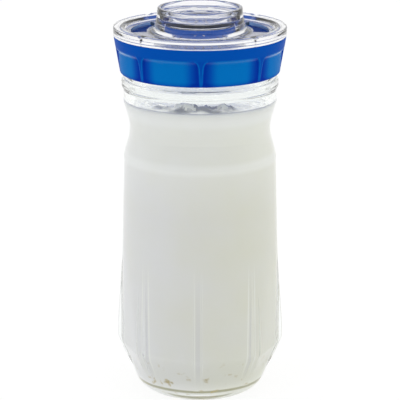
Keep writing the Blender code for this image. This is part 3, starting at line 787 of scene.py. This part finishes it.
# Painted shade: the curds attribute greys the foam on the hills.
curds = kefir_body.data.attributes.new("curds", "FLOAT", "POINT")
hills = hill_height(places[:, 0], places[:, 1])
curds.data.foreach_set("value", np.clip(hills / CURD_SHADE_FULL_AT, 0.0, 1.0))
kefir_body.data.materials.append(kefir)
kefir_body.data.materials.append(kefir_foam)
for face in kefir_body.data.polygons:
    face.use_smooth = True
    if face.center.z > (SURFACE_LEVEL - FOAM_DEPTH) * MM and face.normal.z > 0.5:
        face.material_index = 1
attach(kefir_body, "jar")
print("curds stand up to", round(max(places[:, 2]) - SURFACE_LEVEL, 1), "mm above the surface")

# %% [markdown]
# ## The strainer cap
#
# The cap is one moulding: a screw ring with a straight band on top, eight hollowed panels with thin
# grips between them, and a slotted deck sunk into its top. It starts as one turned outline, closely
# divided, so that there are points to move where the panels come.

# %% Turn the cap
CAP_OUTLINE = (
    (0.0, 193.0, 0.0), (42.4, 193.0, 0.6), (42.4, 196.5, 0.3), (45.8, 196.5, 0.6),
    (42.5, 176.7, 1.6), (40.1, 176.7, 0.3), (40.1, 191.2, 0.3), (0.0, 191.2, 0.0),
)
CAP_STEPS = 320

cap_points = divided(outline(CAP_OUTLINE), 0.6, 177.0, 196.0)
screw_cap = turned("screw_cap_ring", cap_points, CAP_STEPS)
print("cap is", round(screw_cap.dimensions.x / MM, 1), "mm wide")

# %% [markdown]
# ## Grips between the panels
#
# Each grip is thin at the skirt, widens a little on its way up and flares into the band like the
# stem of a leaf. An operator would need many cuts for that. A formula gives half the grip's width
# at every height, and the points of the cap are gathered there so that the edge stays sharp.

# %% Width of a grip
GRIP_EVEN = (0.0, 1.125, 12.375, 22.5)
GRIP_GATHERED = (0.0, 0.6, 6.0, 22.5)
GRIP_CLOCKING = 2.3
GRIP_LOW_HALF_WIDTH = 0.45
GRIP_WIDENING = 0.055
GRIP_FLARE = 2.2
GRIP_FLARE_REACH = 1.2
BAND_BOTTOM = 190.8
SKIRT_BOTTOM = 176.7


def from_grip(radius, angle, height):
    """Distance from the nearest grip's middle, and half the grip's width, which flares at its top."""
    offset, _ = sector_angle(angle, RIB_COUNT, GRIP_CLOCKING)
    below = np.maximum(BAND_BOTTOM - height, 0.0)
    half = GRIP_LOW_HALF_WIDTH + GRIP_WIDENING * (height - SKIRT_BOTTOM)
    half = half + GRIP_FLARE * np.exp(-below / GRIP_FLARE_REACH)
    return radius * np.abs(np.sin(np.radians(offset))), half


print("a grip is", 2.0 * GRIP_LOW_HALF_WIDTH, "mm wide at the skirt")

# %% [markdown]
# ## Panels, thread and pads
#
# The panels are hollowed between the grips and get deeper on their way up. The thread stands inward
# in the bore. Under the two windows of the cover the deck is raised into plain pads, which close
# the windows until the cover is turned.

# %% Hollow the panels and raise the pads
CAP_LOW_RADIUS = 42.5
CAP_FLARE = 3.3 / 19.8
BORE_RADIUS = 40.1
BORE_BOTTOM = 177.2
DECK_TOP = 193.0
PANEL_STEP = 1.1
PANEL_FADE = 2.0
PANEL_EDGE = 0.9
PANEL_DEEPENING = 12.0
WALL_SKIN = 1.7
CAP_THREAD_DROP = 1.885
WINDOW_ANGLES = (18.6, 164.6)
PAD_HALF_ANGLE = 23.5
PAD_INNER = 24.6
PAD_OUTER = 38.0
PAD_RISE = 3.7


def apart(angle, other):
    """How many degrees lie between two angles."""
    return np.abs((angle - other + 180.0) % 360.0 - 180.0)


def shape_cap(radius, angle, height):
    """Hollows the panels, adds the thread in the bore and raises the two pads."""
    cone = CAP_LOW_RADIUS + CAP_FLARE * (height - SKIRT_BOTTOM)
    outside = (radius > cone - WALL_SKIN) & (height < BAND_BOTTOM + 0.2)
    angle = gathered(angle, RIB_COUNT, GRIP_EVEN, GRIP_GATHERED, GRIP_CLOCKING)
    sideways, half = from_grip(radius, angle, height)
    below = BAND_BOTTOM - height
    from_bottom = (height - SKIRT_BOTTOM - 0.4) / PANEL_DEEPENING
    deep = softly(below / PANEL_FADE) * np.clip(from_bottom, 0.0, 1.0)
    hollow = PANEL_STEP * deep * softly((sideways - half) / PANEL_EDGE)
    in_bore = (np.abs(radius - BORE_RADIUS) < NEAR) & (height > BORE_BOTTOM) & (height < BAND_BOTTOM)
    thread = thread_height(angle, height, THREAD_LEVEL - CAP_THREAD_DROP)
    from_window = np.minimum(*[apart(angle, middle) for middle in WINDOW_ANGLES])
    in_pad = (from_window < PAD_HALF_ANGLE) & (radius > PAD_INNER) & (radius < PAD_OUTER)
    deck = (np.abs(height - DECK_TOP) < 0.01) & (radius < 41.0)
    inside = np.where(in_bore, radius - thread, radius)
    height = height + np.where(deck & in_pad, PAD_RISE, 0.0)
    return np.where(outside, radius - hollow, inside), angle, height


reshaped(screw_cap, shape_cap)
print("pads stand", PAD_RISE, "mm above the deck, at", WINDOW_ANGLES, "degrees")

# %% [markdown]
# ## Painted light and shade in the blue
#
# A mesh can carry a value at every point, and a material can read it. That suits a change of colour
# that follows the shape, which an image or a pattern in space would miss. The cap gets two such
# values: the painted light and shade of its blue, and how smooth its hollow under the band is.

# %% Paint light and shade and polish onto the cap
BAND_LIGHT_AND_SHADE = 0.5
PAD_PAINTED_SHADE = -0.8
PANEL_LIGHT_START = 0.8
PANEL_LIGHT_REACH = 9.0
HEM = 3.0
HEM_PAINTED_SHADE = 0.5
EDGE_HIGHLIGHT_WIDTH = 0.35
EDGE_PAINTED_HIGHLIGHT = 0.75
COVE_LEVEL = 1.0
COVE_REACH = 0.8


def paint_cap_light_and_shade(piece):
    """Writes both attributes: painted shade, deep blue, beside each grip and a painted highlight, pale,
    along the grip's two edges.
    """
    mesh = piece.data
    places = np.array([corner.co for corner in mesh.vertices]) / MM
    radius, height = np.hypot(places[:, 0], places[:, 1]), places[:, 2]
    angle = np.degrees(np.arctan2(places[:, 1], places[:, 0]))
    sideways, half = from_grip(radius, angle, height)
    # Painted shade: darker towards the skirt's bottom edge and beside each grip, with painted light out
    # in the panels.
    hem_shade = HEM_PAINTED_SHADE * softly((SKIRT_BOTTOM + HEM - height) / HEM)
    panel = softly((sideways - PANEL_LIGHT_START) / PANEL_LIGHT_REACH) - hem_shade
    # Painted highlight along the grip's two edges, and paler on the grip itself.
    edge_highlight = np.exp(-(((sideways - half) / EDGE_HIGHLIGHT_WIDTH) ** 2)) + 0.5 * (sideways < half)
    share = np.clip(panel + EDGE_PAINTED_HIGHLIGHT * edge_highlight, 0.0, 1.0)
    below_band = softly((BAND_BOTTOM + 0.2 - height) / 0.5)
    light = BAND_LIGHT_AND_SHADE + below_band * (share - BAND_LIGHT_AND_SHADE)
    # Painted shade: the pads under the cover's windows get the deepest blue.
    on_pad = (radius < 40.0) & (height > DECK_TOP + 1.0)
    light = np.where(on_pad, PAD_PAINTED_SHADE, light)
    below = BAND_BOTTOM - height
    cove = np.exp(-(((below - COVE_LEVEL) / COVE_REACH) ** 2))
    cove = cove * softly((sideways - half) / 1.5) * (radius > 40.5)
    for name, values in (("painted_light_and_shade", light), ("polish", cove)):
        paint = mesh.attributes.new(name, "FLOAT", "POINT")
        paint.data.foreach_set("value", values)
    print("lightness runs from", round(float(light.min()), 2), "to", round(float(light.max()), 2))


paint_cap_light_and_shade(screw_cap)

# %% [markdown]
# ## The slots in the deck
#
# The deck strains the kefir through radial slots: coarse ones in a field at the back and fine ones
# in a field at the front, with plain deck between. A slot is a cube scaled to size. All slots are
# joined into one cutter, and one Boolean cuts them together.

# %% Cut the slots
DECK_LEVEL = 192.1
SLOT_FIELDS = ((90.0, 1.8), (-90.0, 1.0))
SLOT_RINGS = ((8, 18.0, 14.0), (4, 5.5, 9.0))
SLOT_FIELD_SWEEP = 104.0
CUTTER_HEIGHT = 5.0


def cut_out(piece, cutter):
    """Takes the cutter out of the piece and deletes it."""
    cut = piece.modifiers.new("cut", "BOOLEAN")
    cut.operation, cut.solver, cut.object = "DIFFERENCE", "EXACT", cutter
    bpy.ops.object.select_all(action="DESELECT")
    bpy.context.view_layer.objects.active = piece
    piece.select_set(True)
    bpy.ops.object.modifier_apply(modifier="cut")
    bpy.data.objects.remove(cutter, do_unlink=True)
    bpy.ops.object.shade_smooth_by_angle(angle=SHARP)


def slot_block(start, length, width, turn):
    """One long cube standing in the deck at this angle."""
    middle = (start + length / 2.0) * MM
    place = (middle * math.cos(turn), middle * math.sin(turn), DECK_LEVEL * MM)
    bpy.ops.mesh.primitive_cube_add(size=1.0, location=place, rotation=(0.0, 0.0, turn))
    bpy.context.object.scale = (length * MM, width * MM, CUTTER_HEIGHT * MM)
    return bpy.context.object


slots = []
for field_middle, width in SLOT_FIELDS:
    for count, start, length in SLOT_RINGS:
        for index in range(count):
            from_middle = ((index + 0.5) / count - 0.5) * SLOT_FIELD_SWEEP
            slots.append(slot_block(start, length, width, math.radians(field_middle + from_middle)))
for slot in slots:
    slot.select_set(True)
bpy.ops.object.join()
print("slots:", len(slots))
cut_out(screw_cap, bpy.context.object)
screw_cap.data.materials.append(blue_polypropylene)
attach(screw_cap, "cap")
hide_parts("strainer_cap")
print("cap has", len(screw_cap.data.polygons), "faces")

# %% [markdown]
# ## The clear cover
#
# The cover is one thin wall folded into a rim, a dished ring and a collar. Its outline is closed,
# and spins into a hollow ring. Small notches break its rim at four places, where it turns to open.

# %% Turn the cover
COVER_OUTLINE = (
    (21.2, 206.0, 0.3), (23.0, 206.0, 0.3), (24.6, 200.6, 2.0), (27.2, 198.8, 2.0),
    (37.6, 198.8, 2.0), (41.0, 201.5, 0.6), (46.0, 201.5, 0.6), (46.0, 196.8, 0.3),
    (45.4, 196.8, 0.0), (44.5, 197.7, 0.0), (44.5, 198.0, 0.0), (43.4, 199.1, 0.0),
    (43.4, 199.3, 0.0), (42.1, 200.1, 0.0), (42.1, 194.6, 0.3),
    (40.3, 194.6, 0.0), (40.3, 198.65, 0.0), (38.2, 197.0, 2.0), (24.8, 197.0, 0.0),
    (23.0, 196.2, 0.0), (21.2, 196.2, 0.0),
)
COVER_STEPS = 256
NOTCH_ANGLES = (49.0, 131.0, 229.0, 311.0)
NOTCH_HALF_WIDTH = 2.4
NOTCH_EDGE = 0.9
NOTCH_DEPTH = 0.5
RIM_INNER = 41.5
RIM_FROM = 200.4

cover_points = divided(outline(COVER_OUTLINE, closed=True), 1.2, 196.0, 202.0)
cover = turned("clear_cover_ring", cover_points, COVER_STEPS, closed=True)


def notch_cover(radius, angle, height):
    """Presses four shallow notches into the rim."""
    press = 0.0
    for middle in NOTCH_ANGLES:
        press = press + softly((NOTCH_HALF_WIDTH - apart(angle, middle)) / NOTCH_EDGE)
    rim = (radius > RIM_INNER) & (height > RIM_FROM)
    return radius, angle, height - np.where(rim, NOTCH_DEPTH * press, 0.0)


reshaped(cover, notch_cover)

# %% [markdown]
# ## The pouring windows
#
# Two windows in the dished ring let the kefir out past the strainer. A rectangle is spun through a
# part turn to make a curved block, and a Boolean takes it out of the ring.

# %% Cut the windows
WINDOW_HALF_ANGLE = math.radians(26.0)
WINDOW_INNER = 28.2
WINDOW_OUTER = 36.6
WINDOW_LEVEL = 198.0
WINDOW_STEPS = 24
BLOCK_HEIGHT = 4.0


for middle_angle in WINDOW_ANGLES:
    bpy.ops.object.select_all(action="DESELECT")
    bpy.ops.mesh.primitive_plane_add(size=1.0)
    block = bpy.context.object
    bpy.ops.object.mode_set(mode="EDIT")
    bpy.ops.transform.resize(value=((WINDOW_OUTER - WINDOW_INNER) * MM, BLOCK_HEIGHT * MM, 1.0))
    bpy.ops.object.mode_set(mode="OBJECT")
    for corner in block.data.vertices:
        middle = (WINDOW_INNER + WINDOW_OUTER) / 2.0 * MM
        corner.co = (corner.co.x + middle, 0.0, corner.co.y + WINDOW_LEVEL * MM)
    bpy.ops.object.mode_set(mode="EDIT")
    sweep = 2.0 * WINDOW_HALF_ANGLE
    bpy.ops.mesh.spin(steps=WINDOW_STEPS, angle=sweep, center=(0.0, 0.0, 0.0), axis=(0.0, 0.0, 1.0))
    bpy.ops.mesh.select_all(action="SELECT")
    bpy.ops.mesh.normals_make_consistent(inside=False)
    bpy.ops.object.mode_set(mode="OBJECT")
    # Spin turns clockwise here, so the block is turned on by half its sweep.
    block.rotation_euler.z = math.radians(middle_angle) + WINDOW_HALF_ANGLE
    bpy.context.view_layer.update()
    cut_out(cover, block)

cover.data.materials.append(clear_acrylic)
# The windows' cut sides take the painted blue reflection.
cover.data.materials.append(satin_edge_painted_blue)
for face in cover.data.polygons:
    from_axis = math.hypot(face.center.x, face.center.y) / MM
    in_ring = WINDOW_INNER - 0.1 < from_axis < WINDOW_OUTER + 0.1
    if in_ring and abs(face.normal.z) < 0.5:
        face.material_index = 1
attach(cover, "cover")
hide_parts("clear_cover")
print("cover has", len(cover.data.polygons), "faces")

# %% [markdown]
# ## The measuring cup
#
# The small cup plugs the collar. A ledge inside its head stacks it for measuring grains, and a
# groove in its wall holds the black ring.

# %% Turn the cup and its ring
CUP_OUTLINE = (
    (0.0, 203.5, 0.0), (17.6, 203.5, 2.0), (17.6, 207.8, 0.6), (20.6, 207.8, 0.6),
    (20.6, 211.5, 0.3), (22.4, 211.5, 0.6), (23.0, 206.3, 0.3), (20.5, 206.3, 0.3),
    (20.5, 204.85, 0.0), (19.1, 204.85, 0.0), (19.1, 202.75, 0.0), (20.5, 202.75, 0.0),
    (20.5, 202.0, 0.3), (0.0, 202.0, 0.0),
)
CUP_STEPS = 192
RING_OUTLINE = ((19.4, 203.05, 0.7), (19.4, 204.55, 0.7), (20.9, 204.55, 0.7), (20.9, 203.05, 0.7))

cup = turned("measuring_cup", divided(outline(CUP_OUTLINE), 2.0), CUP_STEPS)
cup.data.materials.append(clear_acrylic)
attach(cup, "cup")
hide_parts("measuring_cap")

o_ring = turned("cup_ring_seal", outline(RING_OUTLINE, closed=True), CUP_STEPS, closed=True)
o_ring.data.materials.append(black_rubber)
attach(o_ring, "cup_ring")
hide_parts("cup_o_ring")

# %% [markdown]
# ## The flat seals
#
# The gasket on the glass lip and the washer under the cover are almost hidden. They are turned with
# softer edges than the model has.

# %% Turn the two seals
GASKET_OUTLINE = ((35.3, 189.3, 0.4), (35.3, 190.9, 0.4), (39.8, 190.9, 0.4), (39.8, 189.3, 0.4))
WASHER_OUTLINE = ((39.1, 193.3, 0.3), (39.1, 194.3, 0.3), (42.1, 194.3, 0.3), (42.1, 193.3, 0.3))
SEAL_STEPS = 128

seals = (
    ("lip_gasket", GASKET_OUTLINE, "gasket", "mouth_gasket"),
    ("cover_washer", WASHER_OUTLINE, "cover_ring", "cover_seal"),
)
for name, corners, body, node in seals:
    seal = turned(name, outline(corners, closed=True), SEAL_STEPS, closed=True)
    seal.data.materials.append(white_silicone)
    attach(seal, body)
    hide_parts(node)

# %% [markdown]
# ## The floor
#
# The photo shows white all round and no clear shadow. The floor is a pale sheet that is partly lit
# and partly glows towards the camera, so that it reaches white and still keeps a faint shadow. It
# also glows towards whatever is closer than 15 mm, because the lamps can't reach under the foot.

# %% A white floor
FLOOR_SIZE = 8.0
FLOOR_DROP = 0.1 * MM
FLOOR_GLOW = 0.76
FLOOR_STRENGTH = 1.08
UNDER_FOOT = 15.0 * MM
PAPER_MM = 40.0


def floor_material():
    """Pale paper, part lit and part glowing for the rays that look at it."""
    material = new_material("white_paper_floor")
    shades = {0: pattern(material, PAPER_MM), 6: linear("#F4F4F3"), 7: linear("#F8F8F7")}
    paper = add_node(material, "Mix", shades, data_type="RGBA")[2]
    lit = add_node(material, "BsdfDiffuse", {"Color": paper, "Roughness": 0.5})["BSDF"]
    glow = add_node(material, "Emission", {"Strength": FLOOR_STRENGTH})["Emission"]
    path = add_node(material, "LightPath")
    near = add_node(material, "Math", (path["Ray Length"], UNDER_FOOT), operation="LESS_THAN")[0]
    shown = add_node(material, "Math", (near, path["Is Diffuse Ray"]), operation="MULTIPLY")[0]
    for kind in ("Is Camera Ray", "Is Glossy Ray", "Is Transmission Ray"):
        shown = add_node(material, "Math", (shown, path[kind]), operation="MAXIMUM")[0]
    share = add_node(material, "Math", (shown, FLOOR_GLOW), operation="MULTIPLY")[0]
    return finished(material, add_node(material, "MixShader", (share, lit, glow))["Shader"])


bpy.ops.object.select_all(action="DESELECT")
bpy.ops.mesh.primitive_plane_add(size=FLOOR_SIZE, location=(0.0, 0.0, -FLOOR_DROP))
floor = bpy.context.object
floor.name = "floor"
floor.data.materials.append(floor_material())

# %% [markdown]
# ## Daylight
#
# Clear pieces show only what is around them. A white room makes them vanish, and a dark side gives
# them edges. The world is white behind and above, and greyer on the camera's side, for rays that
# look. For rays that light, it is one even level.

# %% The world
LIGHT_LEVEL = 0.73
FRONT_GREY = "#D2D5DA"
BACK_WHITE = "#FFFFFF"


def make_world():
    """White behind, grey in front, and one even level for the rays that light."""
    world = bpy.data.worlds.new("white_room")
    world.use_nodes = True
    world.node_tree.nodes.clear()
    bpy.context.scene.world = world
    direction = add_node(world, "TexCoord")["Generated"]
    parts = add_node(world, "SeparateXYZ", {"Vector": direction})
    behind = add_node(world, "MapRange", (parts["Y"], -0.75, 0.1))["Result"]
    colours = {0: behind, 6: linear(FRONT_GREY), 7: linear(BACK_WHITE)}
    room = add_node(world, "Mix", colours, data_type="RGBA")[2]
    path = add_node(world, "LightPath")
    looks = (path["Is Glossy Ray"], path["Is Transmission Ray"])
    looking = add_node(world, "Math", looks, operation="MAXIMUM")[0]
    even = add_node(world, "Background", (linear(BACK_WHITE), LIGHT_LEVEL))[0]
    around = add_node(world, "Background", (room, 1.0))[0]
    white = add_node(world, "Background", (linear(BACK_WHITE), 1.0))[0]
    bounced = add_node(world, "MixShader", (looking, even, around))[0]
    seen = add_node(world, "MixShader", (path["Is Camera Ray"], bounced, white))[0]
    add_node(world, "OutputWorld", {"Surface": seen})
    print("world:", world.name)


make_world()

# %% [markdown]
# ## Soft boxes
#
# Two large soft boxes stand left and right in front, so that the blue ring is bright on its sides
# and darker in its middle, as in the photo. A third hangs above.

# %% Three soft boxes
# Name, place, side, watts, colour.
SOFT_BOXES = (
    ("left_box", (-1.5, -0.55, 0.55), 1.6, 3.4, "#FBFCFF"),
    ("right_box", (1.5, -0.55, 0.55), 1.6, 3.4, "#FFFDF8"),
    ("top_box", (0.0, 0.25, 1.6), 1.6, 5.0, "#FFFFFF"),
)
AIM = Vector((0.0, 0.0, 0.12))


def aimed(obj, place, target):
    """Puts a lamp or camera at a place and points it at the target."""
    obj.location = place
    obj.rotation_euler = (target - Vector(place)).to_track_quat("-Z", "Y").to_euler()


for name, place, side, power, colour in SOFT_BOXES:
    bpy.ops.object.light_add(type="AREA")
    lamp = bpy.context.object
    lamp.name = name
    lamp.data.shape = "SQUARE"
    lamp.data.size = side
    lamp.data.energy = power
    lamp.data.color = linear(colour)[:3]
    lamp.visible_glossy = False
    lamp.visible_transmission = False
    aimed(lamp, place, AIM)
    print(f"{name}: {power} W")

# %% [markdown]
# ## The camera
#
# The ellipses of the lid and the foot give the camera: about a metre away, looking down 16 degrees,
# through a long lens. It stands 1.6 degrees to one side, which puts the front rib a little left.

# %% Place the camera
CAMERA_REACH = 1.015
CAMERA_SIDE = math.radians(1.6)
CAMERA_HEIGHT = 0.3893
CAMERA_AIM = Vector((0.0, 0.0, 0.10557))
SENSOR_WIDTH = 36.0
LENS = 175.02

bpy.ops.object.camera_add()
camera = bpy.context.object
camera.data.sensor_width = SENSOR_WIDTH
camera.data.lens = LENS
camera_x, camera_y = CAMERA_REACH * math.sin(CAMERA_SIDE), -CAMERA_REACH * math.cos(CAMERA_SIDE)
aimed(camera, (camera_x, camera_y, CAMERA_HEIGHT), CAMERA_AIM)
bpy.context.scene.camera = camera
bpy.context.scene.view_settings.view_transform = "Standard"
print("camera is", round((camera.location - CAMERA_AIM).length, 3), "m away")
